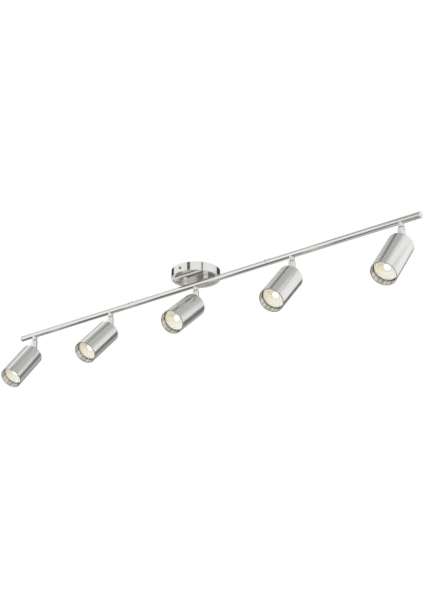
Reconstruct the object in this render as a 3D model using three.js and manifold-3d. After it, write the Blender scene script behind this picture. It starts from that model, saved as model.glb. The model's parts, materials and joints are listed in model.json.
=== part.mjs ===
// Ceiling spot bar: a round canopy carries a straight round-tube rail on two short hollow posts,
// and five cylindrical spots hang from the rail, each on a swivel fork that pans and tilts.
// Millimetres, +Z up. The origin is on the ceiling plane, at the middle of the canopy.
// +X runs along the rail. A spot at pan 0 leans its mouth towards -Y when it tilts.
import * as THREE from 'three';
import { mergeVertices } from 'three/addons/utils/BufferGeometryUtils.js';
import Module from 'manifold-3d';

const wasm = await Module();
wasm.setup();

// ---- driving dimensions ----
const GAP = 0.3; // clearance between two pieces that seat on or in each other
const CANOPY = { diameter: 116, height: 21, wall: 1.2, edge: 0.8, rim: 6.4, dish: 1.2, screwDepth: 10.5 };
const RAIL = { diameter: 14, wall: 1.2, length: 1213, drop: 14.5, jointFromMiddle: 211, seam: 0.4 };
const POST = { diameter: 12, nipple: 10, bore: 6.4, spacing: 62, spigot: 8 };
const SPOT_SPACING = 279;
const COLLAR = { diameter: 12.5, bottom: 14.8, spigot: 6, bore: 3.6 }; // bottom: below the rail's axis
const FORK = { diameter: 15, neck: 10, groove: 1.1, shoulder: 2, slot: 5.2, slotRise: 7.4, pivotDrop: 48.6 };
const PIVOT = { shank: 4, head: 7, headHeight: 1.6, endInset: 1 };
const SHELL = { diameter: 57, length: 110, wall: 1.4, edgeRadius: 1.2, hem: 0.8, hemDepth: 3, setback: 9.3 };
const LAMP = { diameter: 50.6, recess: 14.5, bodyLength: 46, baseDiameter: 27, pinSpacing: 10 };
const SOCKET = { diameter: 28, length: 20 };

// How the five spots stand, from the -X end: degrees from straight down, and about the stem.
const AIMS = [
  { tilt: 40.5, pan: 4 },
  { tilt: 45.5, pan: 1 },
  { tilt: 51.5, pan: 5 },
  { tilt: 44, pan: 1 },
  { tilt: 38.5, pan: -5 },
];

// ---- derived places ----
const CANOPY_BOTTOM = -CANOPY.height;
const CANOPY_UNDERSIDE = CANOPY_BOTTOM + CANOPY.dish; // the flat middle, raised inside the rim
const CANOPY_FLOOR = CANOPY_UNDERSIDE + CANOPY.wall; // inner face of the canopy's bottom
const RAIL_AXIS = CANOPY_BOTTOM - RAIL.drop;
const RAIL_RADIUS = RAIL.diameter / 2;
const RAIL_BORE = RAIL_RADIUS - RAIL.wall;
const SADDLE_RADIUS = RAIL_RADIUS + GAP;
const SPIGOT_END = RAIL_BORE - 1.5; // a spigot through the rail's wall ends this far from its axis

// ---- facets round a full turn ----
const FINE = 40;
const ROUND = 32;
const SMALL = 16;
const SLIM = 14;
const TINY = 8;

// ---- finishes ----
const metal = (color, roughness) => new THREE.MeshStandardMaterial({ color, roughness, metalness: 1 });
const matt = (color, roughness) => new THREE.MeshStandardMaterial({ color, roughness, metalness: 0 });
const brushedNickel = () => metal(0xbdbcb8, 0.32);
const polishedNickel = () => metal(0xcfcdc8, 0.12);
const zincSteel = () => metal(0xa9adb0, 0.45);
const groundGreen = () => metal(0x2f7d46, 0.4);
const whiteCeramic = () => matt(0xe9e6df, 0.55);
const lampWhite = () => matt(0xf0efec, 0.35);
const lampLens = () => {
  const material = matt(0xfff4d8, 0.15);
  material.emissive = new THREE.Color(0xfff1cf);
  return material;
};

// ---- solids ----

// Six times the signed volume under one triangle, summed to learn which way a mesh faces.
function facesInward(positions, indices) {
  const [a, b, c] = [new THREE.Vector3(), new THREE.Vector3(), new THREE.Vector3()];
  let volume = 0;
  for (let i = 0; i < indices.length; i += 3) {
    a.fromArray(positions, 3 * indices[i]);
    b.fromArray(positions, 3 * indices[i + 1]);
    c.fromArray(positions, 3 * indices[i + 2]);
    volume += a.dot(b.cross(c));
  }
  return volume < 0;
}

// A three.js geometry as a manifold solid: shared corners merged, empty triangles dropped, faces out.
function solid(geometry) {
  const bare = geometry.index ? geometry.toNonIndexed() : geometry.clone();
  bare.deleteAttribute('normal');
  bare.deleteAttribute('uv');
  const merged = mergeVertices(bare, 1e-4);
  const source = merged.index.array;
  const kept = [];
  for (let i = 0; i < source.length; i += 3) {
    const [a, b, c] = [source[i], source[i + 1], source[i + 2]];
    if (a !== b && b !== c && c !== a) kept.push(a, b, c);
  }
  const vertProperties = Float32Array.from(merged.attributes.position.array);
  if (facesInward(vertProperties, kept)) kept.reverse();
  const triVerts = Uint32Array.from(kept);
  return new wasm.Manifold(new wasm.Mesh({ numProp: 3, vertProperties, triVerts }));
}

// A manifold solid as a named mesh with its own finish.
function piece(name, body, material) {
  const mesh = body.getMesh();
  const geometry = new THREE.BufferGeometry();
  geometry.setAttribute('position', new THREE.BufferAttribute(mesh.vertProperties.slice(), 3));
  geometry.setIndex(new THREE.BufferAttribute(mesh.triVerts.slice(), 1));
  geometry.computeVertexNormals();
  const result = new THREE.Mesh(geometry, material);
  result.name = name;
  return result;
}

const cut = (body, ...tools) => tools.reduce((rest, tool) => rest.subtract(tool), body);
const join = (body, ...others) => others.reduce((whole, other) => whole.add(other), body);

// A turned solid about Z. The path is drawn with x as radius and y as height.
function turned(draw, segments, arcSteps = 1) {
  const path = new THREE.Path();
  draw(path);
  const geometry = new THREE.LatheGeometry(path.getPoints(arcSteps), segments);
  return solid(geometry.rotateX(Math.PI / 2));
}

// A plain round bar about Z between two heights.
function bar(radius, low, high, segments) {
  const geometry = new THREE.CylinderGeometry(radius, radius, high - low, segments);
  return solid(geometry.rotateX(Math.PI / 2).translate(0, 0, (low + high) / 2));
}

// The same round bar lying along X, or along Y, between two places.
const barAlongX = (radius, low, high, segments) => bar(radius, low, high, segments).rotate([0, 90, 0]);
const barAlongY = (radius, low, high, segments) => bar(radius, -high, -low, segments).rotate([90, 0, 0]);

// A flat plate: a shape drawn in X and Y, raised from a low to a high Z.
function plate(shape, low, high, arcSteps = 3) {
  const options = { depth: high - low, bevelEnabled: false, curveSegments: arcSteps };
  return solid(new THREE.ExtrudeGeometry(shape, options).translate(0, 0, low));
}

// A plate whose shape is drawn in Y (as x) and Z (as y), and which runs along X.
function plateAlongX(shape, low, high, arcSteps = 3) {
  const options = { depth: high - low, bevelEnabled: false, curveSegments: arcSteps };
  const geometry = new THREE.ExtrudeGeometry(shape, options).translate(0, 0, low);
  return solid(geometry.rotateX(Math.PI / 2).rotateZ(Math.PI / 2));
}

// A rectangle with two round ends, long along Y.
function slotShape(width, length) {
  const radius = width / 2;
  const reach = length / 2 - radius;
  const shape = new THREE.Shape();
  shape.moveTo(radius, -reach);
  shape.lineTo(radius, reach);
  shape.absarc(0, reach, radius, 0, Math.PI, false);
  shape.lineTo(-radius, -reach);
  shape.absarc(0, -reach, radius, Math.PI, 2 * Math.PI, false);
  return shape;
}

function rectangle(left, right, low, high) {
  const shape = new THREE.Shape();
  shape.moveTo(left, low);
  shape.lineTo(right, low);
  shape.lineTo(right, high);
  shape.lineTo(left, high);
  shape.closePath();
  return shape;
}

// ---- ceiling end ----

// A drawn pan, open towards the ceiling, its flat bottom dished up a little inside a sloping rim.
function canopy() {
  const radius = CANOPY.diameter / 2;
  const inner = radius - CANOPY.wall;
  const flat = radius - CANOPY.rim;
  const edge = CANOPY.edge;
  const pan = turned((path) => {
    path.moveTo(0, CANOPY_UNDERSIDE);
    path.lineTo(flat, CANOPY_UNDERSIDE);
    path.lineTo(radius - edge, CANOPY_BOTTOM);
    path.absarc(radius - edge, CANOPY_BOTTOM + edge, edge, -Math.PI / 2, 0, false);
    path.lineTo(radius, 0);
    path.lineTo(inner, 0);
    path.lineTo(inner, CANOPY_BOTTOM + CANOPY.wall);
    path.lineTo(flat, CANOPY_FLOOR);
    path.lineTo(0, CANOPY_FLOOR);
  }, FINE);
  const nippleHole = bar(POST.nipple / 2 + GAP, CANOPY_BOTTOM - 1, CANOPY_FLOOR + 1, SLIM);
  const screwHole = barAlongY(CANOPY_SCREW.shank / 2 + GAP, -radius - 1, radius + 1, TINY);
  return cut(
    pan,
    nippleHole.translate([POST.spacing / 2, 0, 0]),
    nippleHole.translate([-POST.spacing / 2, 0, 0]),
    screwHole.translate([0, 0, -CANOPY.screwDepth]),
  );
}

const CROSSBAR = { width: 20, thickness: 2, reach: 55.2, tabDepth: 17, bend: 4 };
const BOX_SLOT = { width: 5, length: 14.6, fromMiddle: 39.7 }; // takes both common ceiling box spacings
const CANOPY_SCREW = { shank: 3.2, head: 6.4, headHeight: 2.4, length: 8 };
const GROUND_SCREW = { x: 5, y: 22, shank: 3.4, head: 7, headHeight: 2.2 };

// A flat steel strap across the canopy with both ends bent down as threaded tabs.
function crossbar() {
  const { reach, thickness, tabDepth, bend, width } = CROSSBAR;
  const shape = new THREE.Shape();
  shape.moveTo(-reach, -tabDepth);
  shape.lineTo(-reach, -bend);
  shape.absarc(-reach + bend, -bend, bend, Math.PI, Math.PI / 2, true);
  shape.lineTo(reach - bend, 0);
  shape.absarc(reach - bend, -bend, bend, Math.PI / 2, 0, true);
  shape.lineTo(reach, -tabDepth);
  shape.lineTo(reach - thickness, -tabDepth);
  shape.lineTo(reach - thickness, -bend);
  shape.absarc(reach - bend, -bend, bend - thickness, 0, Math.PI / 2, false);
  shape.lineTo(-reach + bend, -thickness);
  shape.absarc(-reach + bend, -bend, bend - thickness, Math.PI / 2, Math.PI, false);
  shape.lineTo(-reach + thickness, -tabDepth);
  shape.closePath();
  const strap = plateAlongX(shape, -width / 2, width / 2, 2);
  const slot = plate(slotShape(BOX_SLOT.width, BOX_SLOT.length), -thickness - 1, 1);
  const tabHole = barAlongY(CANOPY_SCREW.shank / 2 + GAP, -reach - 1, reach + 1, TINY);
  const groundHole = bar(GROUND_SCREW.shank / 2 + GAP, -thickness - 1, 1, TINY);
  return cut(
    strap,
    slot.translate([0, BOX_SLOT.fromMiddle, 0]),
    slot.translate([0, -BOX_SLOT.fromMiddle, 0]),
    tabHole.translate([0, 0, -CANOPY.screwDepth]),
    groundHole.translate([GROUND_SCREW.x, GROUND_SCREW.y, 0]),
  );
}

// A screw hanging head down: a round shank up to z = 0 and a domed head under it.
function screw(shank, length, head, headHeight, segments = TINY) {
  return turned((path) => {
    path.moveTo(0, length);
    path.lineTo(shank / 2, length);
    path.lineTo(shank / 2, 0);
    path.lineTo(head / 2, 0);
    path.lineTo(head / 2, -headHeight / 2);
    path.quadraticCurveTo(head / 2 - headHeight / 4, -headHeight, head / 4, -headHeight);
    path.lineTo(0, -headHeight);
  }, segments, 2);
}

function canopyScrew() {
  const { shank, length, head, headHeight } = CANOPY_SCREW;
  return screw(shank, length, head, headHeight, SLIM);
}

// Its shank stops just short of the strap's top face, which lies against the ceiling box.
function groundScrew() {
  const { shank, head, headHeight } = GROUND_SCREW;
  return screw(shank, CROSSBAR.thickness, head, headHeight);
}

// ---- posts between canopy and rail ----

// The rail's outside, with clearance, for cutting saddles into what seats on it.
const railTool = () => barAlongX(SADDLE_RADIUS, -CANOPY.diameter, CANOPY.diameter, SMALL);

const POST_TOP = CANOPY_FLOOR + 6.8; // end of the threaded nipple, inside the canopy

// A hollow post: threaded nipple up through the canopy, plain body, saddle and spigot into the rail.
function post() {
  const body = bar(POST.diameter / 2, RAIL_AXIS, CANOPY_UNDERSIDE - GAP, SMALL);
  const seated = cut(body, railTool().translate([0, 0, RAIL_AXIS]));
  const nipple = bar(POST.nipple / 2, CANOPY_UNDERSIDE - 1, POST_TOP, SLIM);
  const spigot = bar(POST.spigot / 2, RAIL_AXIS + SPIGOT_END, CANOPY_BOTTOM - 1, SLIM);
  const wireWay = bar(POST.bore / 2, RAIL_AXIS, POST_TOP + 1, SLIM);
  return cut(join(seated, nipple, spigot), wireWay);
}

const NUT = { acrossFlats: 16, thickness: 5 };

function postNut() {
  const shape = new THREE.Shape();
  const corner = NUT.acrossFlats / Math.sqrt(3);
  for (let side = 0; side < 6; side += 1) {
    const angle = (side * Math.PI) / 3;
    shape[side ? 'lineTo' : 'moveTo'](corner * Math.cos(angle), corner * Math.sin(angle));
  }
  shape.closePath();
  const low = CANOPY_FLOOR + GAP;
  const hex = plate(shape, low, low + NUT.thickness);
  return cut(hex, bar(POST.nipple / 2 + GAP, low - 1, low + NUT.thickness + 1, SLIM));
}

// ---- rail, drawn about its own axis along X ----

const JOINT_SCREW = { shank: 3, head: 5.6, headHeight: 1.5, length: 5.5, fromSeam: 5.75 };
const JOINER = { length: 60, wall: 1.2 };
const END_CAP = { diameter: 15, flange: 2, plug: 8, edge: 0.8 };

// A length of rail tube with a hole in its underside for every spot and in its top for every post.
function railTube(left, right, spotPlaces, postPlaces, screwPlaces) {
  const tube = cut(
    barAlongX(RAIL_RADIUS, left, right, SMALL),
    barAlongX(RAIL_BORE, left - 1, right + 1, SLIM),
  );
  const spotHole = bar(COLLAR.spigot / 2 + GAP, -RAIL.diameter, 0, TINY);
  const postHole = bar(POST.spigot / 2 + GAP, 0, RAIL.diameter, SLIM);
  const screwHole = bar(JOINT_SCREW.shank / 2 + GAP, 0, RAIL.diameter, TINY);
  return cut(
    tube,
    ...spotPlaces.map((x) => spotHole.translate([x, 0, 0])),
    ...postPlaces.map((x) => postHole.translate([x, 0, 0])),
    ...screwPlaces.map((x) => screwHole.translate([x, 0, 0])),
  );
}

// The sleeve inside a joint of the rail, drilled for its two screws.
function joiner() {
  const radius = RAIL_BORE - GAP;
  const half = JOINER.length / 2;
  const sleeve = cut(
    barAlongX(radius, -half, half, SLIM),
    barAlongX(radius - JOINER.wall, -half - 1, half + 1, SLIM),
  );
  const hole = bar(JOINT_SCREW.shank / 2 + GAP, 0, RAIL.diameter, TINY);
  return cut(
    sleeve,
    hole.translate([JOINT_SCREW.fromSeam, 0, 0]),
    hole.translate([-JOINT_SCREW.fromSeam, 0, 0]),
  );
}

// A joint screw, head up, its flat underside on the rail's crown.
function jointScrew() {
  const { shank, length, head, headHeight } = JOINT_SCREW;
  return screw(shank, length, head, headHeight).rotate([180, 0, 0]);
}

// A turned plug for the rail's end: a flange with a softened edge, and a spigot along -Z.
function endCap() {
  const { diameter, flange, plug, edge } = END_CAP;
  const radius = diameter / 2;
  return turned((path) => {
    path.moveTo(0, flange);
    path.lineTo(radius - edge, flange);
    path.absarc(radius - edge, flange - edge, edge, Math.PI / 2, 0, true);
    path.lineTo(radius, 0);
    path.lineTo(RAIL_BORE - GAP, 0);
    path.lineTo(RAIL_BORE - GAP, -plug);
    path.lineTo(0, -plug);
  }, SMALL);
}

// ---- one spot's stem, drawn with z = 0 on the rail's axis ----

const RIVET = { diameter: 9.4, thickness: 2, seat: 27.4 }; // seat: the fork's inner ledge, below the axis
const FORK_TOP = -COLLAR.bottom - GAP;
const FORK_SLOT_TOP = -FORK.pivotDrop + FORK.slotRise;

// The collar under the rail. Its hollow spigot goes up into the rail and, below, down through the
// fork's neck, where it is riveted over, so that the fork turns on it and can't drop.
function collar() {
  const body = bar(COLLAR.diameter / 2, -COLLAR.bottom, -RAIL_RADIUS / 2, SMALL);
  const seated = cut(body, railTool());
  const rivetTop = -RIVET.seat - GAP;
  const spigot = bar(COLLAR.spigot / 2, rivetTop - 1, -SPIGOT_END, TINY);
  const rivet = bar(RIVET.diameter / 2, rivetTop - RIVET.thickness, rivetTop, SLIM);
  const wireWay = bar(COLLAR.bore / 2, rivetTop - RIVET.thickness - 1, 0, TINY);
  return cut(join(seated, spigot, rivet), wireWay);
}

// The turning barrel: a narrow neck that leaves a groove under the collar, a rounded shoulder, and a
// slot milled up from below that leaves two cheeks, rounded about the tilt pivot.
function fork() {
  const radius = FORK.diameter / 2;
  const neck = FORK.neck / 2;
  const shoulder = FORK_TOP - FORK.groove;
  const low = -FORK.pivotDrop - radius;
  const barrel = turned((path) => {
    path.moveTo(0, FORK_TOP);
    path.lineTo(neck, FORK_TOP);
    path.lineTo(neck, shoulder);
    path.lineTo(radius - FORK.shoulder, shoulder);
    path.absarc(radius - FORK.shoulder, shoulder - FORK.shoulder, FORK.shoulder, Math.PI / 2, 0, true);
    path.lineTo(radius, low);
    path.lineTo(0, low);
  }, SMALL);
  const side = new THREE.Shape();
  side.moveTo(radius + 1, 1);
  side.lineTo(-radius - 1, 1);
  side.lineTo(-radius - 1, -FORK.pivotDrop + 1);
  side.lineTo(-radius, -FORK.pivotDrop + 1);
  side.lineTo(-radius, -FORK.pivotDrop);
  side.absarc(0, -FORK.pivotDrop, radius, Math.PI, 2 * Math.PI, false);
  side.lineTo(radius, -FORK.pivotDrop + 1);
  side.lineTo(radius + 1, -FORK.pivotDrop + 1);
  side.closePath();
  const rounded = barrel.intersect(plateAlongX(side, -radius - 1, radius + 1, 4));
  const slotSide = rectangle(-radius - 1, radius + 1, low - 1, FORK_SLOT_TOP);
  const slot = plateAlongX(slotSide, -FORK.slot / 2, FORK.slot / 2);
  const pivotZ = -FORK.pivotDrop;
  const headSeat = radius - PIVOT.headHeight - 2 * GAP;
  return cut(
    rounded,
    slot,
    bar(COLLAR.spigot / 2 + GAP, -RIVET.seat - 1, FORK_TOP + 1, TINY),
    bar(RIVET.diameter / 2 + GAP, FORK_SLOT_TOP - 1, -RIVET.seat, SLIM),
    barAlongX(PIVOT.shank / 2 + GAP, -radius - 1, radius + 1, TINY).translate([0, 0, pivotZ]),
    barAlongX(PIVOT.head / 2 + GAP, headSeat, radius + 1, SLIM).translate([0, 0, pivotZ]),
  );
}

// The pivot screw lies along X, its head sunk into the +X cheek.
function pivotScrew() {
  const radius = FORK.diameter / 2;
  const seat = radius - PIVOT.headHeight - GAP;
  return screw(PIVOT.shank, seat + radius - PIVOT.endInset, PIVOT.head, PIVOT.headHeight)
    .rotate([0, -90, 0])
    .translate([seat, 0, 0]);
}

// ---- one spot's head, hanging straight down, drawn with z = 0 on the tilt pivot ----

const REAR = -SHELL.setback;
const REAR_INNER = REAR - SHELL.wall;
const MOUTH = REAR - SHELL.length;
const LENS_FACE = MOUTH + LAMP.recess;
const LAMP_BACK = LENS_FACE + LAMP.bodyLength;
const SOCKET_BACK = LAMP_BACK + GAP + SOCKET.length;
const TONGUE = { thickness: FORK.slot - 2 * GAP, radius: 6.4 };
const STIRRUP = { width: 25, depth: 12, thickness: 1.6 };
const PIN = { diameter: 4.7, length: 6.5 };
const LENS = { diameter: 48.8, thickness: 2, crown: 0.6, edge: 0.5 };
// The lamp's outside behind its front: flange, the step in behind it, then the bowl's waist and end.
const FLANGE = { thickness: 3, step: 1.4 };
const BOWL = { inset: 3, waist: 22, end: 31, base: 33 };
// The reflector inside: from its rim to a flat ring round the domed light source.
const REFLECTOR = { rim: 23.4, ring: 9.6, depth: 9.5, waist: 7.3, source: 8.2, sourceRise: 1.5 };
const SOCKET_CHAMFER = 1.5;

// The cylinder: closed behind but for the tongue's slot, open at the mouth, where its edge is hemmed.
function shell() {
  const radius = SHELL.diameter / 2;
  const inner = radius - SHELL.wall;
  const edge = SHELL.edgeRadius;
  const can = turned((path) => {
    path.moveTo(0, REAR);
    path.lineTo(radius - edge, REAR);
    path.absarc(radius - edge, REAR - edge, edge, Math.PI / 2, 0, true);
    path.lineTo(radius, MOUTH);
    path.lineTo(inner - SHELL.hem, MOUTH);
    path.lineTo(inner - SHELL.hem, MOUTH + SHELL.hemDepth);
    path.lineTo(inner, MOUTH + SHELL.hemDepth);
    path.lineTo(inner, REAR_INNER);
    path.lineTo(0, REAR_INNER);
  }, ROUND);
  const halfX = TONGUE.thickness / 2 + GAP;
  const halfY = TONGUE.radius + GAP;
  return cut(can, plate(rectangle(-halfX, halfX, -halfY, halfY), REAR_INNER - 1, REAR + 1));
}

// Tongue, web and stirrup in one: the tongue fills the fork's slot and reaches through the shell's
// back, and the stirrup inside clamps the back of the shell and carries the socket.
function bracket() {
  const webTop = REAR_INNER - GAP;
  const low = SOCKET_BACK + GAP;
  const eye = new THREE.Shape();
  eye.moveTo(-TONGUE.radius, 0);
  eye.absarc(0, 0, TONGUE.radius, Math.PI, 0, true);
  eye.lineTo(TONGUE.radius, webTop - STIRRUP.thickness / 2);
  eye.lineTo(-TONGUE.radius, webTop - STIRRUP.thickness / 2);
  eye.closePath();
  const tongue = plateAlongX(eye, -TONGUE.thickness / 2, TONGUE.thickness / 2, 4);
  const outer = new THREE.BoxGeometry(STIRRUP.width, STIRRUP.depth, webTop - low);
  const hollow = new THREE.BoxGeometry(
    STIRRUP.width - 2 * STIRRUP.thickness,
    STIRRUP.depth + 2,
    webTop - low - 2 * STIRRUP.thickness,
  );
  const middle = (webTop + low) / 2;
  const ring = cut(solid(outer.translate(0, 0, middle)), solid(hollow.translate(0, 0, middle)));
  const pivotHole = barAlongX(PIVOT.shank / 2 + GAP, -TONGUE.thickness, TONGUE.thickness, TINY);
  return cut(join(tongue, ring), pivotHole);
}

// The ceramic lamp holder, with two keyhole sockets for the lamp's pins.
function socket() {
  const radius = SOCKET.diameter / 2;
  const front = LAMP_BACK + GAP;
  const block = turned((path) => {
    path.moveTo(0, SOCKET_BACK);
    path.lineTo(radius - SOCKET_CHAMFER, SOCKET_BACK);
    path.lineTo(radius, SOCKET_BACK - SOCKET_CHAMFER);
    path.lineTo(radius, front);
    path.lineTo(0, front);
  }, SLIM);
  const hole = bar(PIN.diameter / 2 + GAP, front - 1, front + PIN.length + GAP, TINY);
  const half = LAMP.pinSpacing / 2;
  return cut(block, hole.translate([half, 0, 0]), hole.translate([-half, 0, 0]));
}

// The reflector lamp: the flange with a seat for its lens, the bowl with the domed light source at its
// bottom, the tapering back, the base and two pins.
function lampBody() {
  const radius = LAMP.diameter / 2;
  const base = LAMP.baseDiameter / 2;
  const { inset, waist, end } = BOWL;
  const seatRadius = LENS.diameter / 2 + GAP;
  const seat = LENS_FACE + LENS.thickness + GAP;
  const ring = LENS_FACE + REFLECTOR.depth;
  const source = ring - REFLECTOR.sourceRise;
  const halfway = (REFLECTOR.ring + REFLECTOR.rim) / 2;
  const body = turned((path) => {
    path.moveTo(0, source);
    path.quadraticCurveTo(REFLECTOR.source, source, REFLECTOR.source, ring);
    path.lineTo(REFLECTOR.ring, ring);
    path.quadraticCurveTo(halfway, LENS_FACE + REFLECTOR.waist, REFLECTOR.rim, seat);
    path.lineTo(seatRadius, seat);
    path.lineTo(seatRadius, LENS_FACE);
    path.lineTo(radius, LENS_FACE);
    path.lineTo(radius, LENS_FACE + FLANGE.thickness);
    path.lineTo(radius - FLANGE.step, LENS_FACE + FLANGE.thickness);
    path.quadraticCurveTo(radius - inset, LENS_FACE + waist, base + inset, LENS_FACE + end);
    path.lineTo(base, LENS_FACE + BOWL.base);
    path.lineTo(base, LAMP_BACK);
    path.lineTo(0, LAMP_BACK);
  }, SMALL, 2);
  const pin = bar(PIN.diameter / 2, LAMP_BACK - 1, LAMP_BACK + PIN.length, TINY);
  const half = LAMP.pinSpacing / 2;
  return join(body, pin.translate([half, 0, 0]), pin.translate([-half, 0, 0]));
}

// The clear front lens over the reflector: a thin disc, its face crowned behind the flange's face.
function lens() {
  const radius = LENS.diameter / 2;
  const back = LENS_FACE + LENS.thickness;
  return turned((path) => {
    path.moveTo(0, back);
    path.lineTo(radius, back);
    path.lineTo(radius, LENS_FACE + LENS.edge + LENS.crown);
    path.lineTo(radius - LENS.edge, LENS_FACE + LENS.crown);
    path.lineTo(radius / 2, LENS_FACE + LENS.crown / 4);
    path.lineTo(0, LENS_FACE);
  }, SMALL);
}

// ---- assembly ----

function at(mesh, x, y, z) {
  mesh.position.set(x, y, z);
  return mesh;
}

function ceilingEnd() {
  const group = new THREE.Group();
  const wall = CANOPY.diameter / 2 + GAP;
  const height = -CANOPY.screwDepth;
  const front = at(piece('canopy_screw_front', canopyScrew(), polishedNickel()), 0, -wall, height);
  const back = at(piece('canopy_screw_back', canopyScrew(), polishedNickel()), 0, wall, height);
  front.rotation.x = -Math.PI / 2;
  back.rotation.x = Math.PI / 2;
  const ground = piece('ground_screw', groundScrew(), groundGreen());
  at(ground, GROUND_SCREW.x, GROUND_SCREW.y, -CROSSBAR.thickness - GAP);
  group.add(
    piece('canopy', canopy(), polishedNickel()),
    piece('crossbar', crossbar(), zincSteel()),
    front,
    back,
    ground,
  );
  for (const [side, x] of [['left', -POST.spacing / 2], ['right', POST.spacing / 2]]) {
    group.add(
      at(piece(`post_${side}`, post(), polishedNickel()), x, 0, 0),
      at(piece(`post_nut_${side}`, postNut(), zincSteel()), x, 0, 0),
    );
  }
  return group;
}

// Places along the rail that lie strictly inside one of its lengths.
const within = (places, left, right) => places.filter((x) => x > left && x < right);

function rail(spotPlaces) {
  const group = at(new THREE.Group(), 0, 0, RAIL_AXIS);
  const half = RAIL.length / 2 - END_CAP.flange - GAP;
  const joint = RAIL.jointFromMiddle;
  const seam = RAIL.seam / 2;
  const posts = [-POST.spacing / 2, POST.spacing / 2];
  const screws = [-joint, joint].flatMap((x) => [x - JOINT_SCREW.fromSeam, x + JOINT_SCREW.fromSeam]);
  const lengths = [
    ['left', -half, -joint - seam],
    ['center', -joint + seam, joint - seam],
    ['right', joint + seam, half],
  ];
  for (const [name, left, right] of lengths) {
    const holes = [spotPlaces, posts, screws].map((places) => within(places, left, right));
    group.add(piece(`rail_${name}`, railTube(left, right, ...holes), brushedNickel()));
  }
  for (const [side, sign] of [['left', -1], ['right', 1]]) {
    group.add(at(piece(`rail_joiner_${side}`, joiner(), zincSteel()), sign * joint, 0, 0));
    for (const [place, step] of [['inner', -1], ['outer', 1]]) {
      const x = sign * (joint + step * JOINT_SCREW.fromSeam);
      const name = `rail_screw_${side}_${place}`;
      group.add(at(piece(name, jointScrew(), polishedNickel()), x, 0, RAIL_RADIUS + GAP));
    }
    const cap = at(piece(`rail_end_cap_${side}`, endCap(), polishedNickel()), sign * (half + GAP), 0, 0);
    cap.rotation.y = (sign * Math.PI) / 2;
    group.add(cap);
  }
  return group;
}

function spot(number, x, aim) {
  const stem = at(new THREE.Group(), x, 0, RAIL_AXIS);
  const named = (part) => `spot_${number}_${part}`;
  stem.add(piece(named('collar'), collar(), polishedNickel()));

  const swivel = new THREE.Group();
  swivel.rotation.z = THREE.MathUtils.degToRad(aim.pan);
  swivel.add(
    piece(named('fork'), fork(), polishedNickel()),
    at(piece(named('pivot_screw'), pivotScrew(), polishedNickel()), 0, 0, -FORK.pivotDrop),
  );
  stem.add(swivel);

  const head = at(new THREE.Group(), 0, 0, -FORK.pivotDrop);
  head.rotation.x = -THREE.MathUtils.degToRad(aim.tilt);
  head.add(
    piece(named('bracket'), bracket(), zincSteel()),
    piece(named('shell'), shell(), brushedNickel()),
    piece(named('socket'), socket(), whiteCeramic()),
    piece(named('lamp'), lampBody(), lampWhite()),
    piece(named('lens'), lens(), lampLens()),
  );
  swivel.add(head);
  return stem;
}

const fixture = new THREE.Group();
const spotPlaces = AIMS.map((_, index) => (index - (AIMS.length - 1) / 2) * SPOT_SPACING);
fixture.add(ceilingEnd(), rail(spotPlaces));
AIMS.forEach((aim, index) => fixture.add(spot(index + 1, spotPlaces[index], aim)));

export default fixture;
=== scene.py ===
"""A ceiling spot bar: a round canopy, two posts, a tube rail and five swivelling cylinder spots.

Lengths are in millimetres and angles in degrees, except where a name says otherwise. A mesh is worked
out in the place where its part is easiest to draw, and is put into metres and into its place last."""
import json
import math

import bpy
import numpy as np
from mathutils import Matrix, Vector

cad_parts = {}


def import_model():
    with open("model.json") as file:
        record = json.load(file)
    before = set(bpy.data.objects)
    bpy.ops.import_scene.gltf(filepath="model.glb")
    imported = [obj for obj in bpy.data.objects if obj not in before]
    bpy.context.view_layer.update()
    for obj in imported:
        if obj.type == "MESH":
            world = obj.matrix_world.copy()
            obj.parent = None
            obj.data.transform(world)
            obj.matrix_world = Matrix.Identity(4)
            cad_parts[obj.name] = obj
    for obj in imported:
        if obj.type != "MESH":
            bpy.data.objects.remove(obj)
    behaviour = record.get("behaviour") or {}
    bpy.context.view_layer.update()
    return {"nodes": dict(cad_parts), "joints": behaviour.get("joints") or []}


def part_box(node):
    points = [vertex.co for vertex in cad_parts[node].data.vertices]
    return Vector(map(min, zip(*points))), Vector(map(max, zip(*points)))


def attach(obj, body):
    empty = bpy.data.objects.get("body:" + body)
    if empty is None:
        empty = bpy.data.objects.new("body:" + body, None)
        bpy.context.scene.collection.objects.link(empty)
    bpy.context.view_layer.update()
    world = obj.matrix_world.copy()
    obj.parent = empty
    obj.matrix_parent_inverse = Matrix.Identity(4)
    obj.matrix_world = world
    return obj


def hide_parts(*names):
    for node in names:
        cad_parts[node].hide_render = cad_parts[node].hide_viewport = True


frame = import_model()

MM = 0.001
GAP = 0.3  # clearance between two pieces that seat on or in each other
PAST = 2  # how far a cutter reaches past what it cuts
LAP = 1  # how far one cutter reaches into the next
EASE = 0.25  # the fillet on a plain sheared edge
SHARP = 28  # faces that meet at more than this angle show an edge

CANOPY = dict(radius=58, height=21, wall=1.2, edge=0.8, rim=6.4, dish=1.2, screw_depth=10.5)
POST = dict(radius=6, nipple=5, bore=3.2, spigot=4, top=-11.8, pitch=1.0, thread=0.45)
NUT = dict(across_flats=16, thickness=5, ease=0.7)
RAIL = dict(radius=7, bore=5.8)
SADDLE = dict(height=6, steps=5, spigot=1.5)  # height from the rail's axis; spigot's reach into the bore
CAP = dict(radius=7.5, thickness=2, spigot=8)
COLLAR = dict(radius=6.25, bottom=-14.8, spigot=3, bore=1.8)
RIVET = dict(radius=4.7, thickness=2, seat=-27.4)
FORK = dict(radius=7.5, neck=5, groove=1.1, shoulder=2, slot=5.2, slot_top=7.4, barrel_end=8)
PIVOT = dict(shank=2, head=3.5, height=1.6, end_inset=1)
SHELL = dict(radius=28.5, length=110, wall=1.4, edge=1.2, hem=0.8, hem_depth=3, rear=-9.3)
LENS = dict(radius=24.4, thickness=2, crown=0.6)
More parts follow.
